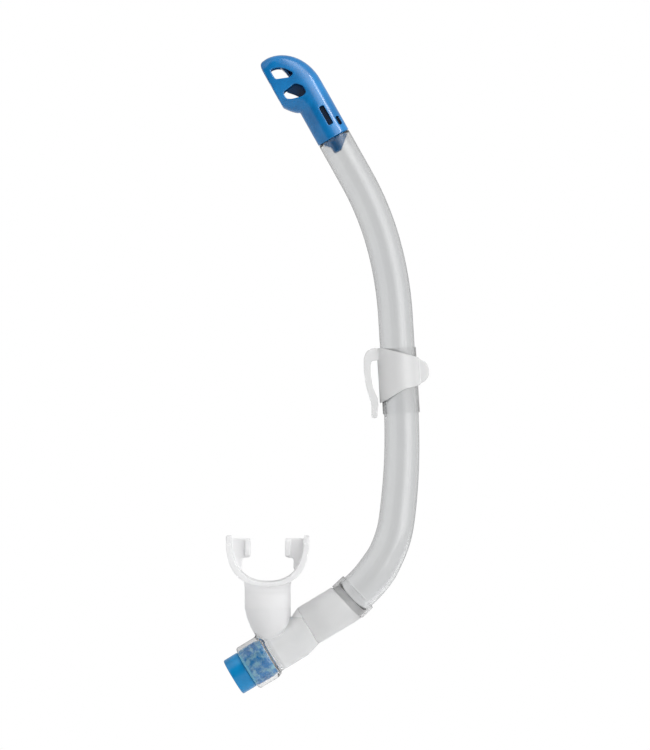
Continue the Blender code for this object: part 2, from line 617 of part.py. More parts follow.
def main():
    clear_scene()
    clear = make_material("clear_pvc", (0.86, 0.87, 0.88), 0.12, 0.9)
    blue = make_material("blue_plastic", (0.004, 0.15, 0.45), 0.28)
    silicone = make_material("clear_silicone", (0.80, 0.81, 0.82), 0.38, 0.5)
    nylon = make_material("natural_nylon", (0.72, 0.73, 0.74), 0.35, 0.4)

    barrel = build_barrel(clear)
    attach(build_hood(blue), barrel)
    attach(build_deflector(blue), barrel)
    build_keeper(clear, nylon)

    tail_x, tail_z, tail_lean = along_barrel(barrel_length())
    swivel = pivot("lower_unit_pivot", tail_x, tail_z, -math.degrees(tail_lean))
    lower = [build_collar(clear), build_sleeve(silicone), build_tee(silicone), build_mouthpiece(silicone)]
    for maker, mat in ((build_cap, blue), (build_housing, blue), (build_seat, blue), (build_flap, silicone)):
        piece = maker(mat)
        place(piece, *PURGE_ORIGIN, PURGE_TILT)
        lower.append(piece)
    for piece in lower:
        attach(piece, swivel)


main()
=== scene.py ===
"""Looks of the snorkel: fine surfaces, procedural materials, studio and camera.

Lengths in the shape code are millimetres, and MM turns them into the frame's metres.
"""

import math

import bmesh
import bpy
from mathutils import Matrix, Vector


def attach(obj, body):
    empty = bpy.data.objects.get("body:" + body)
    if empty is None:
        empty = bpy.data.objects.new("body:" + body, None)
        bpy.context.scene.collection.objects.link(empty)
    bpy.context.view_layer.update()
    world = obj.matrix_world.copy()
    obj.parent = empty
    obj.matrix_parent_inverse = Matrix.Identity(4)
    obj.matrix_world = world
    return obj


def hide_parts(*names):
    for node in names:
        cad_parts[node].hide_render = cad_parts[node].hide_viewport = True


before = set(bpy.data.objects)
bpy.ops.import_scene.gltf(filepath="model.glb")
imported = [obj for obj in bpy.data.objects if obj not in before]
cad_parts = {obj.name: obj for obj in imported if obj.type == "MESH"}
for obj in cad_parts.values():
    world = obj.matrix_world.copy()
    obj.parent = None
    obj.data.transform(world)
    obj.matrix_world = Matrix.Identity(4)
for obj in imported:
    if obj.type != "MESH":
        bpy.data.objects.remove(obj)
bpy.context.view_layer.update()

MM = 0.001
GAP = 0.3
SEAM = 0.02                     # visible line where two mouldings of one colour meet

# ---- the same driving sizes as the CAD part
BARREL_TOP = (-28.0, 161.7)
BARREL_TILT = 29.3
# (length, turn in degrees) of each run of the barrel, from the top down
CENTRELINE = ((33.0, 0.0), (50.0, -14.8), (45.0, -11.0), (58.0, 0.0),
              (76.5, -11.0), (52.0, -38.9), (9.0, 0.0))
BARREL_RADII = ((2.3, 11.2), (127.0, 11.45), (190.0, 11.45), (262.0, 11.9), (286.0, 12.15),
                (299.0, 12.85), (323.5, 12.85))
BARREL_WALL = 1.7
TUBE_R = 11.3
HOOD_FOOT = -2.0
HOOD_WALL = 1.6
CROWN_CENTRE = (-14.0, 36.0)
CROWN_AXES = (25.2, 29.0)
INTAKE_X = -19.3
INTAKE_LIP = 31.0
SPIGOT_R = 9.2
SPIGOT_WALL = 1.2
SPIGOT_END = -11.4
WINDOW_UPPER = ((-14.9, 57.0), (-10.0, 56.0), (-6.0, 53.0), (-2.3, 47.5), (-6.1, 46.4), (-14.9, 49.8))
WINDOW_LOWER = ((-14.8, 39.8), (-9.6, 40.4), (-5.1, 41.4), (-1.2, 37.4), (-1.2, 32.4), (-4.6, 31.4),
                (-12.0, 33.4), (-14.8, 35.2))
DRAIN_SLOTS = ((0.8, 4.4, 6.0, 19.7), (7.2, 9.3, 3.0, 9.2))
SPIGOT_TRIMS = (((-12, -12.4), (-4.0, -12.4), (-5.0, -6.5), (-9.5, -3.2), (-12, -3.2)),
                ((12, -5.0), (8.0, -5.0), (4.4, -8.2), (-0.6, -12.4), (12, -12.4)))
INTAKE_SLOTS = ((37.0, 46.5), (50.0, 60.0))
INTAKE_HALF_WIDTH = 6.5
TIP_CUT = ((-22.0, 60.6), (-19.3, 60.6), (-19.0, 62.3), (-18.2, 63.6), (-17.0, 64.4),
           (-15.4, 64.9), (-15.4, 67.0), (-22.0, 67.0))
KEEPER_STATION = 169.8
SLEEVE_R = (11.75, 12.2)
SLEEVE_SPAN = (-22.5, 20.5)
BAND_R = (12.5, 13.75)
HOOK_DEPTH = 11.0
TAB_DEPTH = 3.2
TAB_CENTRE = (11.5, 4.5)
TAB_R = 8.6
COLLAR_R = (13.15, 14.35)
COLLAR_SPAN = (-5.7, 4.4)
PURGE_ORIGIN = (-93.3, -196.3)
PURGE_TILT = 58.8
OUTLET_OFFSET = -3.5
SLEEVE_FOOT = 60.0
SLEEVE_OUTER = 13.8
SLEEVE_BORE = 12.0
ARM_R = 13.0
CHAMBER_R = 15.5
CHAMBER_SPAN = (11.2, 29.7)
SPIGOT_TIP = 72.0
PORT_X = -70.5
PORT_TOP = -150.3
PORT_BORE = 7.5
PORT_SPIGOT_R = 8.6
MOUTH_TOP = -133.0
MOUTH_TIP = -102.8
FLANGE_HALF_HEIGHT = 14.0
CAP_R = 12.75
CAP_LENGTH = 10.6
HOUSING_SPAN = (10.9, 27.7)
HOUSING_RIBS = 18
SEAT_SPAN = (13.2, 14.7)
FLAP_SPAN = (12.0, 12.9)

# ---- outlines of the flat-sided features, as (x, z) in each piece's own frame
WEB_OUTLINE = ((-8.4, 56.0), (-6.7, 50.7), (-6.0, 46.0), (-9.6, 42.0), (-12.4, 39.2), (-8.6, 35.0),
               (-5.8, 31.0), (-1.5, 22.0), (-0.6, 1.0), (9.25, 1.0), (9.25, 36.0), (6.0, 47.0), (0.0, 54.0))
VANE_OUTLINE = ((-8.4, 56.0), (-6.7, 50.7), (-6.0, 46.0), (-4.5, 46.0), (-5.2, 51.0), (-6.8, 56.0))
WEB_HALF_THICKNESS = 0.8
VANE_HALF_WIDTH = 6.8
BAND_SPAN = (-15.0, 21.3)
BAND_TRIM_UPPER = ((-20.0, 24.4), (-10.0, 21.2), (12.6, 13.8), (20.0, 11.4), (20.0, 30.0), (-20.0, 30.0))
BAND_TRIM_LOWER = ((-20.0, -18.6), (-10.9, -13.9), (2.8, -6.8), (20.0, -3.4), (20.0, -30.0), (-20.0, -30.0))
HOOK_OUTLINE = ((-11.5, 21.2), (-16.7, 21.6), (-20.4, 19.8), (-22.5, 15.9), (-23.0, 7.3), (-22.2, -3.0),
                (-20.7, -9.7), (-19.3, -15.9), (-19.6, -20.9), (-20.0, -24.4), (-15.8, -25.0),
                (-15.9, -20.5), (-14.7, -15.7), (-15.0, -11.6), (-16.5, -8.0), (-17.9, -3.2),
                (-18.6, 4.1), (-18.4, 10.5), (-17.4, 13.2), (-13.2, 13.0))
LUG_PLATE = ((11.4, -104.4), (24.6, -104.4), (25.2, -112.0), (23.0, -122.0), (20.5, -126.5),
             (17.0, -125.0), (17.0, -117.6), (12.4, -117.0), (11.4, -116.0))
LUG_RIDGE = ((11.4, -105.2), (15.0, -105.2), (15.0, -116.2), (11.4, -116.2))
LUG_PLATE_HALF, LUG_RIDGE_HALF = 2.2, 5.0
FLANGE_TRIM = ((-30.0, MOUTH_TIP + 1), (30.0, MOUTH_TIP + 1),
               (30.0, MOUTH_TIP - 5.0), (-30.0, MOUTH_TIP - 5.0))
CAP_SLOTS = ((-7.4, 6.2), (-3.6, 8.6), (3.6, 8.6), (7.4, 6.2))      # x of each slot, and half its length
CAP_SLOT_HALF_WIDTH = 1.1
HOUSING_RINGS = (15.6, 19.4, 23.2)
SEAT_PORTS = 6


# ---------------------------------------------------------------- mesh helpers

def mesh_object(name, bm):
    bmesh.ops.recalc_face_normals(bm, faces=bm.faces)
    bmesh.ops.scale(bm, vec=(MM, MM, MM), verts=bm.verts)
    mesh = bpy.data.meshes.new(name)
    bm.to_mesh(mesh)
    bm.free()
    mesh.shade_smooth()
    obj = bpy.data.objects.new(name, mesh)
    bpy.context.scene.collection.objects.link(obj)
    return obj


def oval_ring(centre, x_axis, y_axis, rx, ry, sides, power=2.0):
    ring = []
    for i in range(sides):
        a = 2 * math.pi * i / sides
        c, s = math.cos(a), math.sin(a)
        x = math.copysign(abs(c) ** (2 / power), c) * rx
        y = math.copysign(abs(s) ** (2 / power), s) * ry
        ring.append(Vector(centre) + Vector(x_axis) * x + Vector(y_axis) * y)
    return ring


def loft(name, rings, closed=False):
    bm = bmesh.new()
    loops = [[bm.verts.new(p) for p in ring] for ring in rings]
    pairs = list(zip(loops, loops[1:]))
    if closed:
        pairs.append((loops[-1], loops[0]))
    for low, high in pairs:
        for i in range(len(low)):
            j = (i + 1) % len(low)
            bm.faces.new((low[i], low[j], high[j], high[i]))
    if not closed:
        bm.faces.new(loops[0])
        bm.faces.new(loops[-1])
    return mesh_object(name, bm)


def lathe(name, profile, sides, closed=True):
    rings = [oval_ring((0, 0, z), (1, 0, 0), (0, 1, 0), r, r, sides) for r, z in profile]
    return loft(name, rings, closed)


def prism(name, outline, y_low, y_high):
    bm = bmesh.new()
    face = bm.faces.new([bm.verts.new((x, y_low, z)) for x, z in outline])
    moved = bmesh.ops.extrude_face_region(bm, geom=[face])["geom"]
    verts = [v for v in moved if isinstance(v, bmesh.types.BMVert)]
    bmesh.ops.translate(bm, verts=verts, vec=(0, y_high - y_low, 0))
    return mesh_object(name, bm)


def box_outline(x0, x1, z0, z1):
    return ((x0, z0), (x1, z0), (x1, z1), (x0, z1))


def rounded(outline, radius, steps=6):
    """Round each corner of an outline with a short curve."""
    pts = [Vector(p) for p in outline]
    result = []
    for i, corner in enumerate(pts):
        before, after = pts[i - 1], pts[(i + 1) % len(pts)]
        reach = min(radius, (before - corner).length * 0.45, (after - corner).length * 0.45)
        start = corner + (before - corner).normalized() * reach
        end = corner + (after - corner).normalized() * reach
        for k in range(steps + 1):
            t = k / steps
            p = start * (1 - t) ** 2 + corner * 2 * t * (1 - t) + end * t * t
            result.append(tuple(p))
    return result


def place(obj, x, z, tilt):
    obj.location = (x * MM, 0.0, z * MM)
    obj.rotation_euler = (0.0, math.radians(tilt), 0.0)
    bake_transform(obj)


def bake_transform(obj):
    bpy.context.view_layer.update()
    obj.data.transform(obj.matrix_world)
    obj.matrix_world.identity()
    obj.location = (0, 0, 0)
    obj.rotation_euler = (0, 0, 0)


def apply_modifiers(obj):
    bpy.context.view_layer.update()
    evaluated = obj.evaluated_get(bpy.context.evaluated_depsgraph_get())
    mesh = bpy.data.meshes.new_from_object(evaluated)
    obj.modifiers.clear()
    old, obj.data = obj.data, mesh
    bpy.data.meshes.remove(old)


def carve(obj, steps):
    """Boolean a list of (tool, operation) into obj and drop the tools."""
    for tool, operation in steps:
        mod = obj.modifiers.new(tool.name, "BOOLEAN")
        mod.operation, mod.solver, mod.object = operation, "EXACT", tool
    apply_modifiers(obj)
    for tool, _ in steps:
        bpy.data.objects.remove(tool, do_unlink=True)


def soften(obj, voxel, passes):
    """Moulded look: remesh finely, then relax the edges into small fillets."""
    mod = obj.modifiers.new("remesh", "REMESH")
    mod.mode, mod.voxel_size, mod.use_smooth_shade = "VOXEL", voxel * MM, True
    mod = obj.modifiers.new("relax", "SMOOTH")
    mod.factor, mod.iterations = 0.5, passes
    apply_modifiers(obj)
    obj.data.shade_smooth()


# ---------------------------------------------------------------- barrel

def along_barrel(distance):
    x, z = BARREL_TOP
    lean = math.radians(BARREL_TILT)
    left = distance
    last = len(CENTRELINE) - 1
    for i, (length, turn) in enumerate(CENTRELINE):
        run = left if i == last else min(left, length)
        bend = math.radians(turn) * run / length
        chord = run if abs(bend) < 1e-9 else run * math.sin(bend / 2) / (bend / 2)
        x += chord * math.sin(lean + bend / 2)
        z -= chord * math.cos(lean + bend / 2)
        lean += bend
        left -= run
        if left <= 0:
            break
    return x, z, lean


BARREL_END = sum(length for length, _ in CENTRELINE)


def barrel_radius(distance):
    table = BARREL_RADII
    for (s0, r0), (s1, r1) in zip(table, table[1:]):
        if distance <= s1:
            t = max(0.0, (distance - s0) / (s1 - s0))
            t = t * t * (3 - 2 * t)
            return r0 + (r1 - r0) * t
    return table[-1][1]


def barrel_ring(distance, radius, sides):
    x, z, lean = along_barrel(distance)
    return oval_ring((x, 0, z), (math.cos(lean), 0, math.sin(lean)), (0, 1, 0), radius, radius, sides)


def make_barrel():
    sides, start = 72, BARREL_RADII[0][0]
    count = 130
    stations = [start + (BARREL_END - start) * k / count for k in range(count + 1)]
    rings = []
    lip = 0.55

    def edge(s, way, r_out, r_in):
        """Rounded rim of the tube's end, from the outer wall over to the bore."""
        middle, half = (r_out + r_in) / 2, (r_out - r_in) / 2
        out = []
        for k in range(1, 6):
            a = math.pi * k / 6
            out.append(barrel_ring(s + way * lip * (math.sin(a) - 1), middle + half * math.cos(a), sides))
        return out

    body = [s for s in stations if start + lip < s < BARREL_END - lip]
    rings += [barrel_ring(s, barrel_radius(s), sides) for s in body]
    rings += edge(BARREL_END, 1, barrel_radius(BARREL_END), barrel_radius(BARREL_END) - BARREL_WALL)
    rings += [barrel_ring(s, barrel_radius(s) - BARREL_WALL, sides) for s in reversed(body)]
    rings += edge(start, -1, barrel_radius(start), barrel_radius(start) - BARREL_WALL)[::-1]
    return loft("barrel_skin", rings, closed=True)


# ---------------------------------------------------------------- splash hood

def crown_point(angle, inset=0.0):
    a = math.radians(angle)
    return (CROWN_CENTRE[0] + (CROWN_AXES[0] - inset) * math.cos(a),
            CROWN_CENTRE[1] + (CROWN_AXES[1] - inset) * math.sin(a))


def hood_sections(inset, face_x, foot):
    r = TUBE_R - inset
    lip = (face_x, INTAKE_LIP + inset)
    throat = 23.0 + 0.6 * inset
    fronts = [(-r, foot), (-r, throat - 8), (-r, throat)]
    backs = [(r, foot), (r, 17.0), (r, 25.0)]
    count = 16
    for k in range(count):
        t = (k + 1) / (count + 1)
        fronts.append((-r + (face_x + r) * t ** 0.8, throat + (lip[1] - throat) * t ** 1.2))
        backs.append(crown_point(88 * k / (count - 1), inset))
    fronts.append(lip)
    angle = math.degrees(math.acos((face_x - CROWN_CENTRE[0]) / (CROWN_AXES[0] - inset)))
    backs.append(crown_point(angle, inset))
    return list(zip(fronts, backs))


def hood_loft(name, inset, face_x, foot):
    rings = []
    sections = hood_sections(inset, face_x, foot)
    for k, (front, back) in enumerate(sections):
        f, b = Vector((front[0], 0, front[1])), Vector((back[0], 0, back[1]))
        across = (b - f) / 2
        squareness = 2.0 + 0.9 * max(0, k - 3) / (len(sections) - 4)
        rings.append(oval_ring((f + b) / 2, across.normalized(), (0, 1, 0), across.length,
                               TUBE_R - inset, 64, squareness))
    return loft(name, rings)


def make_hood():
    hood = hood_loft("splash_hood_skin", 0.0, INTAKE_X, HOOD_FOOT)
    spigot = lathe("spigot", ((SPIGOT_R, SPIGOT_END), (SPIGOT_R, HOOD_FOOT + 3.0)), 64, closed=False)
    bore_r = SPIGOT_R - SPIGOT_WALL
    bore = lathe("bore", ((bore_r, SPIGOT_END - 2), (bore_r, HOOD_FOOT + 6)), 64, closed=False)
    cavity = hood_loft("cavity", HOOD_WALL, INTAKE_X + 2.0, HOOD_FOOT + 1.8)
    steps = [(spigot, "UNION"), (cavity, "DIFFERENCE"), (bore, "DIFFERENCE")]
    for outline in SPIGOT_TRIMS + (TIP_CUT,):
        steps.append((prism("trim", outline, -12, 12), "DIFFERENCE"))
    for outline in (WINDOW_UPPER, WINDOW_LOWER):
        steps.append((prism("window", rounded(outline, 1.6), -15, 15), "DIFFERENCE"))
    for slot in DRAIN_SLOTS:
        steps.append((prism("drain", rounded(box_outline(*slot), 1.2), -15, 15), "DIFFERENCE"))
    for z0, z1 in INTAKE_SLOTS:
        tool = prism("intake", box_outline(INTAKE_X - 2, INTAKE_X + 3.5, z0, z1),
                     -INTAKE_HALF_WIDTH, INTAKE_HALF_WIDTH)
        steps.append((tool, "DIFFERENCE"))
    carve(hood, steps)
    soften(hood, 0.4, 5)
    place(hood, *BARREL_TOP, -BARREL_TILT)
    return hood


def make_deflector():
    deflector = prism("splash_deflector_skin", rounded(WEB_OUTLINE, 0.8, 3),
                      -WEB_HALF_THICKNESS, WEB_HALF_THICKNESS)
    vane = prism("vane", VANE_OUTLINE, -VANE_HALF_WIDTH, VANE_HALF_WIDTH)
    carve(deflector, [(vane, "UNION")])
    soften(deflector, 0.3, 3)
    place(deflector, *BARREL_TOP, -BARREL_TILT)
    return deflector


# ---------------------------------------------------------------- keeper

def keeper_place(obj):
    x, z, lean = along_barrel(KEEPER_STATION)
    place(obj, x, z, -math.degrees(lean))


def make_keeper_sleeve():
    (r0, r1), (z0, z1) = SLEEVE_R, SLEEVE_SPAN
    sleeve = lathe("keeper_sleeve_skin", rounded(((r1, z0), (r1, z1), (r0, z1), (r0, z0)), 0.18, 3), 72)
    keeper_place(sleeve)
    return sleeve


def make_clip():
    (r0, r1), (z0, z1) = BAND_R, BAND_SPAN
    clip = lathe("keeper_clip_skin", ((r1, z0), (r1, z1), (r0, z1), (r0, z0)), 72)
    tab = [(TAB_CENTRE[0] + TAB_R * math.cos(a), TAB_CENTRE[1] + TAB_R * math.sin(a))
           for a in (2 * math.pi * k / 48 for k in range(48))]
    hook = rounded(HOOK_OUTLINE, 2.0, 4)
    carve(clip, [(prism("trim_up", BAND_TRIM_UPPER, -20, 20), "DIFFERENCE"),
                 (prism("trim_low", BAND_TRIM_LOWER, -20, 20), "DIFFERENCE"),
                 (prism("hook", hook, -HOOK_DEPTH / 2, HOOK_DEPTH / 2), "UNION"),
                 (prism("tab", tab, -TAB_DEPTH / 2, TAB_DEPTH / 2), "UNION"),
                 (lathe("bore", ((r0, -30), (r0, 30)), 72, closed=False), "DIFFERENCE")])
    soften(clip, 0.3, 5)
    keeper_place(clip)
    return clip


# ---------------------------------------------------------------- lower unit

def purge_point(s, p):
    a = math.radians(PURGE_TILT)
    return (PURGE_ORIGIN[0] + s * math.sin(a) + p * math.cos(a),
            PURGE_ORIGIN[1] + s * math.cos(a) - p * math.sin(a))


def sleeve_line(count=33):
    x, z, lean = along_barrel(BARREL_END)
    start, leave = Vector((x, z)), Vector((math.sin(lean), -math.cos(lean)))
    a = math.radians(PURGE_TILT)
    arrive = Vector((-math.sin(a), -math.cos(a)))
    foot = Vector(purge_point(SLEEVE_FOOT, OUTLET_OFFSET))
    cross = leave.x * arrive.y - leave.y * arrive.x
    reach = ((foot - start).x * arrive.y - (foot - start).y * arrive.x) / cross
    corner = start + leave * reach
    bend_end = corner + arrive * reach
    line = []
    for k in range(count):
        t = k / (count - 1)
        if t <= 0.5:
            u = t / 0.5
            p = start * (1 - u) ** 2 + corner * 2 * u * (1 - u) + bend_end * u * u
            d = (corner - start) * (1 - u) + (bend_end - corner) * u
        else:
            p, d = bend_end.lerp(foot, (t - 0.5) / 0.5), arrive
        line.append((p, d.normalized()))
    return line


def cross_ring(point, direction, radius, sides):
    return oval_ring((point.x, 0, point.y), (-direction.y, 0, direction.x), (0, 1, 0), radius, radius, sides)


def make_lower_sleeve():
    sides = 72
    line = sleeve_line()
    start, leave = line[0]
    foot, arrive = line[-1]
    head = start + leave * GAP
    step = start + leave * (COLLAR_SPAN[1] + GAP)
    neck = COLLAR_R[0] - GAP
    outer = [cross_ring(head, leave, neck - 0.3, sides), cross_ring(head + leave * 0.3, leave, neck, sides),
             cross_ring(step, leave, neck, sides),
             cross_ring(step + leave * 0.02, leave, SLEEVE_OUTER - 0.4, sides),
             cross_ring(step + leave * 0.4, leave, SLEEVE_OUTER, sides)]

    def clears_collar(p, d):
        """Whether all of a ring, tilt included, is past the step under the collar."""
        tilt = abs(leave.x * d.y - leave.y * d.x)
        return (p - start).dot(leave) - SLEEVE_OUTER * tilt > COLLAR_SPAN[1] + 1.0

    body = [(p, d) for p, d in line[:-1] if clears_collar(p, d)]
    outer += [cross_ring(p, d, SLEEVE_OUTER, sides) for p, d in body]
    outer += [cross_ring(foot - arrive * 0.5, arrive, SLEEVE_OUTER, sides),
              cross_ring(foot - arrive * 0.15, arrive, SLEEVE_OUTER - 0.15, sides),
              cross_ring(foot, arrive, SLEEVE_OUTER - 0.5, sides)]
    inner = [cross_ring(foot, arrive, SLEEVE_BORE + 0.9, sides),
             cross_ring(foot - arrive * 0.9, arrive, SLEEVE_BORE, sides)]
    inner += [cross_ring(p, d, SLEEVE_BORE, sides) for p, d in reversed(body)]
    inner += [cross_ring(step, leave, 11.4, sides), cross_ring(head, leave, 11.2, sides)]
    return loft("lower_sleeve_skin", outer + inner, closed=True)


def make_collar():
    x, z, lean = along_barrel(BARREL_END)
    (r0, r1), (z0, z1) = COLLAR_R, (-COLLAR_SPAN[1], -COLLAR_SPAN[0])
    profile = rounded(((r1, z0), (r1, z1), (r0, z1), (r0, z0)), 0.5, 4)
    collar = lathe("swivel_collar_skin", profile, 72)
    place(collar, x, z, -math.degrees(lean))
    return collar


def tee_rings(profile, sides):
    return [oval_ring((p, 0, s), (1, 0, 0), (0, 1, 0), r, r, sides) for s, p, r in profile]


def vertical_oval(z, cx, rx, ry, power=2.0, sides=64):
    return oval_ring((cx, 0, z), (1, 0, 0), (0, 1, 0), rx, ry, sides, power)


def make_tee():
    c0, c1 = CHAMBER_SPAN
    foot = SLEEVE_FOOT - SEAM
    outside = ((c0, 0, CHAMBER_R - 0.8), (c0 + 1.2, 0, CHAMBER_R), (c1 - 4.0, 0, CHAMBER_R),
               (c1 - 1.2, 0, CHAMBER_R - 1.1), (c1, 0, ARM_R), (50.0, 0, ARM_R),
               (54.0, OUTLET_OFFSET * 0.35, ARM_R + 0.2), (foot, OUTLET_OFFSET, SLEEVE_OUTER),
               (foot, OUTLET_OFFSET, SLEEVE_BORE - GAP), (SPIGOT_TIP, OUTLET_OFFSET, SLEEVE_BORE - GAP))
    inside = ((c0 - 2, 0, 13.7), (c1 - 1.7, 0, 13.7), (c1 - 1.7, 0, 12.0), (c1 + 0.5, 0, 11.0),
              (48.0, 0, 10.8), (56.0, OUTLET_OFFSET * 0.8, 9.9), (SPIGOT_TIP + 2, OUTLET_OFFSET, 9.9))
    tee = loft("tee_body_skin", tee_rings(outside, 72))
    place(tee, *PURGE_ORIGIN, PURGE_TILT)
    hollow = loft("hollow", tee_rings(inside, 72))
    place(hollow, *PURGE_ORIGIN, PURGE_TILT)
    rows = ((-181.0, 2.0, 8.0, 8.0), (-168.0, 3.2, 11.8, 9.4), (-163.0, 2.0, 13.2, 10.6),
            (-157.0, 0.8, 14.4, 11.8), (PORT_TOP, 0.0, 15.2, 12.2), (PORT_TOP + 1.2, 0.0, 15.2, 12.2))
    neck = loft("neck", [vertical_oval(z, PORT_X + cx, rx, ry) for z, cx, rx, ry in rows])
    port = loft("port", [vertical_oval(z, PORT_X, PORT_SPIGOT_R, PORT_SPIGOT_R)
                         for z in (-160.0, PORT_TOP + 6.0)])
    bore = loft("bore", [vertical_oval(z, PORT_X, PORT_BORE, PORT_BORE)
                         for z in (-183.0, PORT_TOP + 8.0)])
    carve(tee, [(neck, "UNION"), (port, "UNION"), (hollow, "DIFFERENCE"), (bore, "DIFFERENCE")])
    soften(tee, 0.45, 5)
    cut_r = PORT_SPIGOT_R + 0.1
    cut = lathe("face_cut", ((cut_r, PORT_TOP), (20.0, PORT_TOP), (20.0, PORT_TOP + 4.0),
                             (cut_r, PORT_TOP + 4.0)), 64)
    place(cut, PORT_X, 0.0, 0.0)
    carve(tee, [(cut, "DIFFERENCE")])
    return tee


def u_curve(half_width, depth, squareness, steps):
    points = []
    for k in range(steps + 1):
        a = math.pi * k / steps
        x = -math.copysign(abs(math.cos(a)) ** (2 / squareness), math.cos(a)) * half_width
        points.append((x, MOUTH_TIP - depth * math.sin(a) ** (2 / squareness)))
    return points


def make_mouthpiece():
    foot = PORT_TOP + SEAM
    # z, half widths across x and y, squareness
    rows = ((foot - 1.2, 15.2, 12.2, 2.0), (foot, 15.2, 12.2, 2.0), (foot + 6, 15.2, 11.4, 2.3),
            (MOUTH_TOP - 8.0, 15.2, 10.9, 2.3), (MOUTH_TOP - 4.6, 15.2, 11.4, 2.3),
            (MOUTH_TOP - 2.2, 15.4, 12.7, 2.3), (MOUTH_TOP - 0.6, 15.8, 13.8, 2.3))
    mouth = loft("mouthpiece_skin", [vertical_oval(z, 0, rx, ry, power) for z, rx, ry, power in rows])
    depth = MOUTH_TIP - MOUTH_TOP
    outline = u_curve(27.5, depth + 2.6, 2.6, 40) + u_curve(24.0, depth, 2.4, 40)[::-1]
    steps = [(prism("flange", outline, -FLANGE_HALF_HEIGHT, FLANGE_HALF_HEIGHT), "UNION")]
    for side in (-1, 1):
        for outline, depth in ((LUG_PLATE, LUG_PLATE_HALF), (LUG_RIDGE, LUG_RIDGE_HALF)):
            tool = prism("lug", rounded([(side * x, z) for x, z in outline], 1.2, 3), -depth, depth)
            steps.append((tool, "UNION"))
    for y0, y1 in ((10.0, 16.0), (-16.0, -10.0)):
        steps.append((prism("trim", FLANGE_TRIM, y0, y1), "DIFFERENCE"))
    ring = PORT_SPIGOT_R + GAP
    duct = loft("duct", [vertical_oval(foot - 3, 0, ring, ring), vertical_oval(PORT_TOP + 6.6, 0, ring, ring),
                         vertical_oval(PORT_TOP + 10, 0, 12.4, 8.2, 2.3),
                         vertical_oval(MOUTH_TOP + 4, 0, 12.8, 8.0, 2.3)])
    steps.append((duct, "DIFFERENCE"))
    carve(mouth, steps)
    soften(mouth, 0.4, 10)
    carve(mouth, [(prism("face_cut", box_outline(-20, 20, foot - 5, foot), -20, 20), "DIFFERENCE")])
    place(mouth, PORT_X, 0.0, 0.0)
    return mouth


# ---------------------------------------------------------------- purge valve

def make_cap():
    r, depth = CAP_R, CAP_LENGTH
    profile = [(r - 1.0, 0.0), (r - 0.45, 0.15), (r - 0.12, 0.5), (r, 1.0), (r, depth - 0.5),
               (r - 0.15, depth - 0.12), (r - 0.5, depth)]
    cap = lathe("purge_cap_skin", profile, 96, closed=False)
    steps = [(lathe("cavity", ((r - 1.6, 1.8), (r - 1.6, depth + 2)), 96, closed=False), "DIFFERENCE")]
    for x, half in CAP_SLOTS:
        outline = box_outline(x - CAP_SLOT_HALF_WIDTH, x + CAP_SLOT_HALF_WIDTH, -2.0, 4.0)
        steps.append((prism("slot", outline, -half, half), "DIFFERENCE"))
    carve(cap, steps)
    soften(cap, 0.28, 3)
    return cap


def make_housing():
    z0, z1 = HOUSING_SPAN
    profile = [(13.4, z0), (13.4, z0 + 1.6), (12.4, z0 + 1.6)]
    for ring_z in HOUSING_RINGS:
        profile += [(12.4, ring_z), (13.2, ring_z), (13.2, ring_z + 1.2), (12.4, ring_z + 1.2)]
    profile += [(12.4, z1 - 1.4), (11.8, z1), (11.0, z1), (11.0, z0)]
    housing = lathe("purge_housing_skin", rounded(profile, 0.25, 3), 96)
    steps = []
    for k in range(HOUSING_RIBS):
        rib = prism("rib", box_outline(12.0, 13.0, z0 + 1.0, 24.0), -0.55, 0.55)
        rib.rotation_euler = (0, 0, 2 * math.pi * k / HOUSING_RIBS)
        bake_transform(rib)
        steps.append((rib, "UNION"))
    carve(housing, steps)
    return housing


def make_seat():
    z0, z1 = SEAT_SPAN
    seat = lathe("purge_seat_skin", ((10.7, z0), (10.7, z1)), 96, closed=False)
    steps = [(lathe("centre", ((1.25, z0 - 1), (1.25, z1 + 1)), 24, closed=False), "DIFFERENCE")]
    for k in range(SEAT_PORTS):
        a = 2 * math.pi * k / SEAT_PORTS
        rings = [oval_ring((5.8 * math.cos(a), 5.8 * math.sin(a), z), (1, 0, 0), (0, 1, 0), 2.2, 2.2, 24)
                 for z in (z0 - 1, z1 + 1)]
        steps.append((loft("port", rings), "DIFFERENCE"))
    carve(seat, steps)
    soften(seat, 0.25, 2)
    return seat


def make_flap():
    z0, z1 = FLAP_SPAN
    disc = ((0.05, z0), (9.0, z0), (9.45, z0 + 0.12), (9.6, z0 + 0.45), (9.5, z1 - 0.1), (9.2, z1))
    stem = ((1.1, z1), (0.9, z1 + 0.2), (0.9, 16.3))
    barb = ((1.7, 16.35), (1.9, 16.6), (1.6, 17.2), (0.9, 18.1), (0.4, 18.2))
    return lathe("purge_diaphragm_skin", disc + stem + barb, 64, closed=False)


# ---------------------------------------------------------------- materials

NECK_TONGUE = (-70.6, -152.0, 15.0, 18.6)       # x, z, half width, half height of the milky area
NECK_MILKY_FROM = (-0.1570, -0.1545)            # z in metres over which the neck turns milky
INSERT_LIP_HIGHLIGHT_END = (0.0124, 0.0132)               # metres from the cap's face where the painted highlight on the pale lip ends
ARM_START = (0.029, 0.034)                      # metres from there where the chamber turns into the arm
ARM_ROUGHNESS = (0.07, 0.20)                    # in the chamber, and in the arm
CLEAR_ABSORPTION = (0.82, 0.83, 0.84)


def new_material(name):
    mat = bpy.data.materials.new(name)
    mat.use_nodes = True
    nodes = mat.node_tree.nodes
    shader = nodes["Principled BSDF"]
    return mat, nodes, mat.node_tree.links, shader


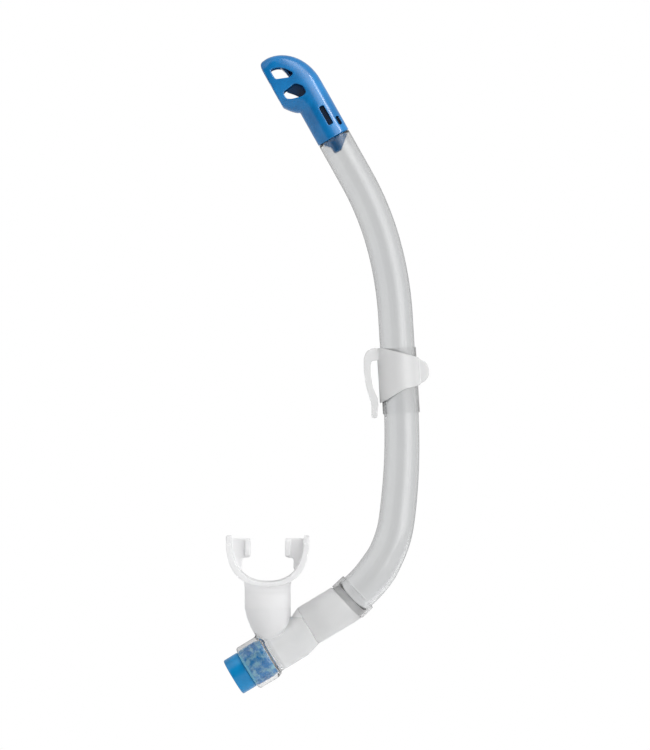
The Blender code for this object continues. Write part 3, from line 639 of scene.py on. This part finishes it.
def add_noise(nodes, links, scale, detail, stretch=(1, 1, 1)):
    """Noise in the object's own metres, so it stays on the piece."""
    coords = nodes.new("ShaderNodeTexCoord")
    mapping = nodes.new("ShaderNodeMapping")
    mapping.inputs["Scale"].default_value = stretch
    noise = nodes.new("ShaderNodeTexNoise")
    noise.inputs["Scale"].default_value = scale
    noise.inputs["Detail"].default_value = detail
    links.new(coords.outputs["Object"], mapping.inputs["Vector"])
    links.new(mapping.outputs["Vector"], noise.inputs["Vector"])
    return noise


def ramp(nodes, links, source, low, high, start=0.35, stop=0.65):
    node = nodes.new("ShaderNodeMapRange")
    node.inputs["From Min"].default_value = start
    node.inputs["From Max"].default_value = stop
    node.inputs["To Min"].default_value = low
    node.inputs["To Max"].default_value = high
    links.new(source, node.inputs["Value"])
    return node.outputs["Result"]


def tint(nodes, links, source, colour_a, colour_b, start=0.35, stop=0.65):
    node = nodes.new("ShaderNodeValToRGB")
    node.color_ramp.elements[0].position = start
    node.color_ramp.elements[1].position = stop
    node.color_ramp.elements[0].color = (*colour_a, 1)
    node.color_ramp.elements[1].color = (*colour_b, 1)
    links.new(source, node.inputs["Fac"])
    return node.outputs["Color"]


def set_or_link(links, socket, source):
    if isinstance(source, bpy.types.NodeSocket):
        links.new(source, socket)
    else:
        socket.default_value = source


def mix(nodes, links, kind, factor, a, b):
    """From a to b by factor; a and b are sockets or constants, kind is FLOAT or RGBA."""
    node = nodes.new("ShaderNodeMix")
    node.data_type = kind
    links.new(factor, node.inputs["Factor"])
    set_or_link(links, node.inputs["A"], a)
    set_or_link(links, node.inputs["B"], b)
    return node.outputs["Result"]


def calculate(nodes, links, operation, a, b):
    node = nodes.new("ShaderNodeMath")
    node.operation = operation
    set_or_link(links, node.inputs[0], a)
    set_or_link(links, node.inputs[1], b)
    return node.outputs["Value"]


def vector_step(nodes, links, operation, a, b):
    node = nodes.new("ShaderNodeVectorMath")
    node.operation = operation
    links.new(a, node.inputs[0])
    node.inputs[1].default_value = b
    return node


def purge_distance(nodes, links):
    """Metres along the purge axis, inwards from the cap's outer face."""
    a = math.radians(PURGE_TILT)
    axis = (math.sin(a), 0, math.cos(a))
    coords = nodes.new("ShaderNodeTexCoord")
    along = vector_step(nodes, links, "DOT_PRODUCT", coords.outputs["Object"], axis)
    start = (PURGE_ORIGIN[0] * axis[0] + PURGE_ORIGIN[1] * axis[2]) * MM
    return calculate(nodes, links, "SUBTRACT", along.outputs["Value"], start)


def bump(nodes, links, shader, sources, distance):
    """Chain of bumps: each source is (height output, strength)."""
    previous = None
    for height, strength in sources:
        node = nodes.new("ShaderNodeBump")
        node.inputs["Strength"].default_value = strength
        node.inputs["Distance"].default_value = distance
        links.new(height, node.inputs["Height"])
        if previous:
            links.new(previous, node.inputs["Normal"])
        previous = node.outputs["Normal"]
    links.new(previous, shader.inputs["Normal"])


def clear_material(name, colour_a, colour_b, rough, absorb, density, ior=1.45):
    mat, nodes, links, shader = new_material(name)
    shader.inputs["Transmission Weight"].default_value = 1.0
    shader.inputs["IOR"].default_value = ior
    waves = add_noise(nodes, links, 55, 2, (1, 1, 0.35))
    grain = add_noise(nodes, links, 900, 3)
    links.new(tint(nodes, links, waves.outputs["Fac"], colour_a, colour_b), shader.inputs["Base Color"])
    links.new(ramp(nodes, links, grain.outputs["Fac"], *rough), shader.inputs["Roughness"])
    bump(nodes, links, shader, ((waves.outputs["Fac"], 0.25), (grain.outputs["Fac"], 0.08)), 0.0006)
    add_absorption(nodes, links, absorb, density)
    return mat


def add_absorption(nodes, links, colour, density):
    volume = nodes.new("ShaderNodeVolumeAbsorption")
    volume.inputs["Color"].default_value = (*colour, 1)
    volume.inputs["Density"].default_value = density
    links.new(volume.outputs["Volume"], nodes["Material Output"].inputs["Volume"])


def blue_material(name, deep, light):
    mat, nodes, links, shader = new_material(name)
    cloud = add_noise(nodes, links, 90, 3)
    grain = add_noise(nodes, links, 1600, 2)
    links.new(tint(nodes, links, cloud.outputs["Fac"], deep, light), shader.inputs["Base Color"])
    links.new(ramp(nodes, links, cloud.outputs["Fac"], 0.14, 0.22), shader.inputs["Roughness"])
    shader.inputs["IOR"].default_value = 1.46
    bump(nodes, links, shader, ((cloud.outputs["Fac"], 0.1), (grain.outputs["Fac"], 0.015)), 0.0003)
    return mat


def insert_material(name):
    """Translucent blue insert: lighter and more mottled than the cap, with a painted highlight of lighter
    blue on its thin outer lip.
    """
    mat, nodes, links, shader = new_material(name)
    cloud = add_noise(nodes, links, 260, 2)
    colour = tint(nodes, links, cloud.outputs["Fac"], (0.015, 0.33, 0.80), (0.42, 0.80, 1.0), 0.44, 0.64)
    # the thin outer lip is painted a lighter blue: a painted highlight where the rim catches the light
    lip = ramp(nodes, links, purge_distance(nodes, links), 1.0, 0.0, *INSERT_LIP_HIGHLIGHT_END)
    links.new(mix(nodes, links, "RGBA", lip, colour, (0.22, 0.72, 1.0, 1)), shader.inputs["Base Color"])
    links.new(ramp(nodes, links, cloud.outputs["Fac"], 0.28, 0.38), shader.inputs["Roughness"])
    shader.inputs["Transmission Weight"].default_value = 0.1
    shader.inputs["IOR"].default_value = 1.42
    bump(nodes, links, shader, ((cloud.outputs["Fac"], 0.3),), 0.0004)
    return mat


def silicone_material(name, colour_a, colour_b, rough, transmission, bump_strength=0.2):
    mat, nodes, links, shader = new_material(name)
    cloud = add_noise(nodes, links, 70, 2)
    grain = add_noise(nodes, links, 1300, 2)
    colour = tint(nodes, links, cloud.outputs["Fac"], colour_a, colour_b, 0.1, 0.9)
    links.new(colour, shader.inputs["Base Color"])
    links.new(ramp(nodes, links, cloud.outputs["Fac"], *rough, 0.1, 0.9), shader.inputs["Roughness"])
    shader.inputs["Transmission Weight"].default_value = transmission
    shader.inputs["IOR"].default_value = 1.41
    bump(nodes, links, shader, ((cloud.outputs["Fac"], bump_strength), (grain.outputs["Fac"], 0.08)), 0.0005)
    return mat


def milky_mask(nodes, links):
    """1 where the tee's neck is milky: above the tongue's middle, and inside its rounded end."""
    x, z, half_width, half_height = (v * MM for v in NECK_TONGUE)
    coords = nodes.new("ShaderNodeTexCoord")
    centred = vector_step(nodes, links, "SUBTRACT", coords.outputs["Object"], (x, 0, z))
    squeeze = (1 / half_width, 0, 1 / half_height)
    scaled = vector_step(nodes, links, "MULTIPLY", centred.outputs["Vector"], squeeze)
    reach = vector_step(nodes, links, "LENGTH", scaled.outputs["Vector"], (0, 0, 0))
    tongue = ramp(nodes, links, reach.outputs["Value"], 1.0, 0.0, 0.9, 1.06)
    split = nodes.new("ShaderNodeSeparateXYZ")
    links.new(coords.outputs["Object"], split.inputs["Vector"])
    above = ramp(nodes, links, split.outputs["Z"], 0.0, 1.0, *NECK_MILKY_FROM)
    return calculate(nodes, links, "MAXIMUM", tongue, above)


def tee_material(name):
    """One moulding in three looks: milky neck, slightly frosted arm, and quite clear purge chamber."""
    mat, nodes, links, shader = new_material(name)
    milky = milky_mask(nodes, links)
    frosted = ramp(nodes, links, purge_distance(nodes, links), *ARM_ROUGHNESS, *ARM_START)
    cloud = add_noise(nodes, links, 120, 4)
    grain = add_noise(nodes, links, 1100, 2)
    clear_tint = tint(nodes, links, cloud.outputs["Fac"], (0.965, 0.97, 0.975), (0.985, 0.988, 0.99))
    milky_tint = tint(nodes, links, cloud.outputs["Fac"], (0.93, 0.93, 0.935), (0.955, 0.955, 0.96))
    milky_rough = ramp(nodes, links, cloud.outputs["Fac"], 0.36, 0.48)
    clearness = ramp(nodes, links, frosted, 1.0, 0.5, *ARM_ROUGHNESS)
    links.new(mix(nodes, links, "RGBA", milky, clear_tint, milky_tint), shader.inputs["Base Color"])
    links.new(mix(nodes, links, "FLOAT", milky, frosted, milky_rough), shader.inputs["Roughness"])
    links.new(mix(nodes, links, "FLOAT", milky, clearness, 0.35), shader.inputs["Transmission Weight"])
    shader.inputs["IOR"].default_value = 1.43
    bump(nodes, links, shader, ((cloud.outputs["Fac"], 0.07), (grain.outputs["Fac"], 0.05)), 0.0005)
    add_absorption(nodes, links, CLEAR_ABSORPTION, 45)
    return mat


# ---------------------------------------------------------------- studio

PART_MIDDLE = (-0.03, 0.0, 0.0)
FLOOR_RADIUS = 1.25
FLOOR_LEVEL = -0.37
HOOD_LIGHT_PLACE = (1.2, -0.62, 0.92)
HOOD_MIDDLE = (-0.07, 0.0, 0.2)


def add_area(name, location, target, size, power):
    light = bpy.data.lights.new(name, "AREA")
    light.shape = "RECTANGLE"
    light.size, light.size_y = size
    light.energy = power
    obj = bpy.data.objects.new(name, light)
    obj.location = location
    obj.rotation_euler = (Vector(target) - Vector(location)).to_track_quat("-Z", "Y").to_euler()
    bpy.context.scene.collection.objects.link(obj)
    return obj


# (azimuth in degrees from the camera's side, clockwise towards +X; brightness there)
STUDIO_RING = ((-180, 0.64), (-115, 0.60), (-75, 1.30), (-46, 1.15), (-30, 0.25), (-12, 0.25), (8, 0.60),
               (25, 1.80), (42, 2.50), (58, 2.20), (75, 1.20), (95, 0.85), (120, 0.70), (180, 0.64))
# the same ring as glossy surfaces mirror it, with a stronger soft box on the right
MIRRORED_RING = ((-180, 0.64), (-115, 0.60), (-75, 1.30), (-46, 1.15), (-30, 0.10), (-12, 0.10), (8, 0.60),
                 (22, 3.00), (40, 5.20), (58, 4.40), (75, 1.60), (95, 0.85), (120, 0.70), (180, 0.64))
THROUGH_GLASS_CAP = 0.9
BRIGHTEST = max(level for _, level in MIRRORED_RING)


def brightness_ring(nodes, links, turn, levels):
    ring = nodes.new("ShaderNodeValToRGB")
    ring.color_ramp.interpolation = "EASE"
    stops = ring.color_ramp.elements
    while len(stops) < len(levels):
        stops.new(0.5)
    for stop, (angle, level) in zip(stops, levels):
        stop.position = (angle + 180) / 360
        stop.color = (level / BRIGHTEST,) * 3 + (1,)
    links.new(turn, ring.inputs["Fac"])
    return ring.outputs["Color"]


def build_world():
    """Soft studio all round the object: brightness by azimuth, and plain white behind it."""
    world = bpy.data.worlds.new("studio")
    bpy.context.scene.world = world
    world.use_nodes = True
    nodes, links = world.node_tree.nodes, world.node_tree.links
    background = nodes["Background"]
    coords = nodes.new("ShaderNodeTexCoord")
    split = nodes.new("ShaderNodeSeparateXYZ")
    links.new(coords.outputs["Generated"], split.inputs["Vector"])
    towards = calculate(nodes, links, "MULTIPLY", split.outputs["Y"], -1.0)
    azimuth = calculate(nodes, links, "ARCTAN2", split.outputs["X"], towards)
    turn = ramp(nodes, links, azimuth, 0.0, 1.0, -math.pi, math.pi)
    lit = brightness_ring(nodes, links, turn, STUDIO_RING)
    mirrored = brightness_ring(nodes, links, turn, MIRRORED_RING)
    # what clear pieces let through is capped, so that they read as grey glass from every side
    capped = calculate(nodes, links, "MINIMUM", lit, THROUGH_GLASS_CAP / BRIGHTEST)
    path = nodes.new("ShaderNodeLightPath")
    level = mix(nodes, links, "FLOAT", path.outputs["Is Glossy Ray"], lit, mirrored)
    level = mix(nodes, links, "FLOAT", path.outputs["Is Transmission Ray"], level, capped)
    level = mix(nodes, links, "FLOAT", path.outputs["Is Camera Ray"], level, 1 / BRIGHTEST)
    links.new(level, background.inputs["Color"])
    background.inputs["Strength"].default_value = BRIGHTEST


def build_floor():
    bm = bmesh.new()
    bmesh.ops.create_circle(bm, cap_ends=True, segments=96, radius=FLOOR_RADIUS)
    mesh = bpy.data.meshes.new("floor")
    bm.to_mesh(mesh)
    bm.free()
    floor = bpy.data.objects.new("floor", mesh)
    floor.location = (PART_MIDDLE[0], PART_MIDDLE[1], FLOOR_LEVEL)
    bpy.context.scene.collection.objects.link(floor)
    mat, _, _, shader = new_material("pale_floor")
    shader.inputs["Base Color"].default_value = (0.93, 0.93, 0.93, 1)
    shader.inputs["Roughness"].default_value = 0.7
    mesh.materials.append(mat)


def build_studio():
    scene = bpy.context.scene
    scene.view_settings.view_transform = "Standard"
    scene.view_settings.look = "None"
    build_world()
    build_floor()
    add_area("top", (0.3, -0.6, 1.5), PART_MIDDLE, (1.0, 1.0), 3)


def light_only(light, obj):
    """Let a light fall on one piece alone."""
    group = bpy.data.collections.new(light.name + "_receivers")
    group.objects.link(obj)
    light.light_linking.receiver_collection = group


FRAME_HEIGHT = 0.495            # metres seen from the top to the bottom of the picture
CAMERA_DISTANCE = 3.0
CAMERA_X, CAMERA_Z = -0.0327, 0.0033
SENSOR = 36.0                   # millimetres


def build_camera():
    data = bpy.data.cameras.new("camera")
    data.sensor_width = SENSOR
    data.lens = CAMERA_DISTANCE * SENSOR / FRAME_HEIGHT
    data.clip_start, data.clip_end = 0.05, 50
    cam = bpy.data.objects.new("camera", data)
    cam.location = (CAMERA_X, -CAMERA_DISTANCE, CAMERA_Z)
    cam.rotation_euler = (math.radians(90), 0, 0)
    bpy.context.scene.collection.objects.link(cam)
    bpy.context.scene.camera = cam


# ---------------------------------------------------------------- assembly

def put(obj, body, node, mat):
    obj.data.materials.clear()
    obj.data.materials.append(mat)
    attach(obj, body)
    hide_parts(node)


def on_purge_axis(obj):
    place(obj, *PURGE_ORIGIN, PURGE_TILT)
    return obj


build_camera()
build_studio()

clear = clear_material("clear_pvc", (0.97, 0.975, 0.98), (0.985, 0.99, 0.99), (0.08, 0.15),
                       CLEAR_ABSORPTION, 85)
thin_clear = clear_material("clear_sleeve", (0.98, 0.982, 0.985), (0.99, 0.99, 0.99), (0.12, 0.2),
                            (0.85, 0.86, 0.87), 10, 1.3)
blue = blue_material("blue_plastic", (0.0005, 0.112, 0.31), (0.001, 0.152, 0.40))
cap_blue = blue_material("cap_blue", (0.0005, 0.185, 0.43), (0.001, 0.235, 0.53))
# darker copy of the hood's blue for the deflector: painted shade for the inside of the hood, where little
# light reaches
painted_shade_blue = blue_material("painted_shade_blue", (0.0004, 0.050, 0.16), (0.0008, 0.070, 0.20))
insert = insert_material("blue_insert")
tee = tee_material("clear_tee")
body_silicone = silicone_material("body_silicone", (0.965, 0.968, 0.97), (0.985, 0.987, 0.99),
                                  (0.28, 0.38), 0.6)
mouth_silicone = silicone_material("mouth_silicone", (0.93, 0.93, 0.935), (0.955, 0.955, 0.96),
                                   (0.38, 0.5), 0.3)
nylon = silicone_material("natural_nylon", (0.97, 0.972, 0.975), (0.985, 0.988, 0.99),
                          (0.16, 0.26), 0.52, 0.06)

put(make_barrel(), "barrel_body", "barrel", clear)
hood = make_hood()
put(hood, "barrel_body", "splash_hood", blue)
light_only(add_area("hood_edge_light", HOOD_LIGHT_PLACE, HOOD_MIDDLE, (0.22, 0.8), 9), hood)
put(make_deflector(), "barrel_body", "splash_deflector", painted_shade_blue)
put(make_keeper_sleeve(), "keeper_carriage", "keeper_sleeve", thin_clear)
put(make_clip(), "strap_clip", "keeper_clip", nylon)
put(make_collar(), "lower_unit", "swivel_collar", thin_clear)
put(make_lower_sleeve(), "lower_unit", "lower_sleeve", body_silicone)
put(make_tee(), "lower_unit", "tee_body", tee)
put(make_mouthpiece(), "mouthpiece_body", "mouthpiece", mouth_silicone)
put(on_purge_axis(make_cap()), "lower_unit", "purge_cap", cap_blue)
put(on_purge_axis(make_housing()), "lower_unit", "purge_housing", insert)
put(on_purge_axis(make_seat()), "lower_unit", "purge_seat", cap_blue)
put(on_purge_axis(make_flap()), "purge_flap", "purge_diaphragm", mouth_silicone)
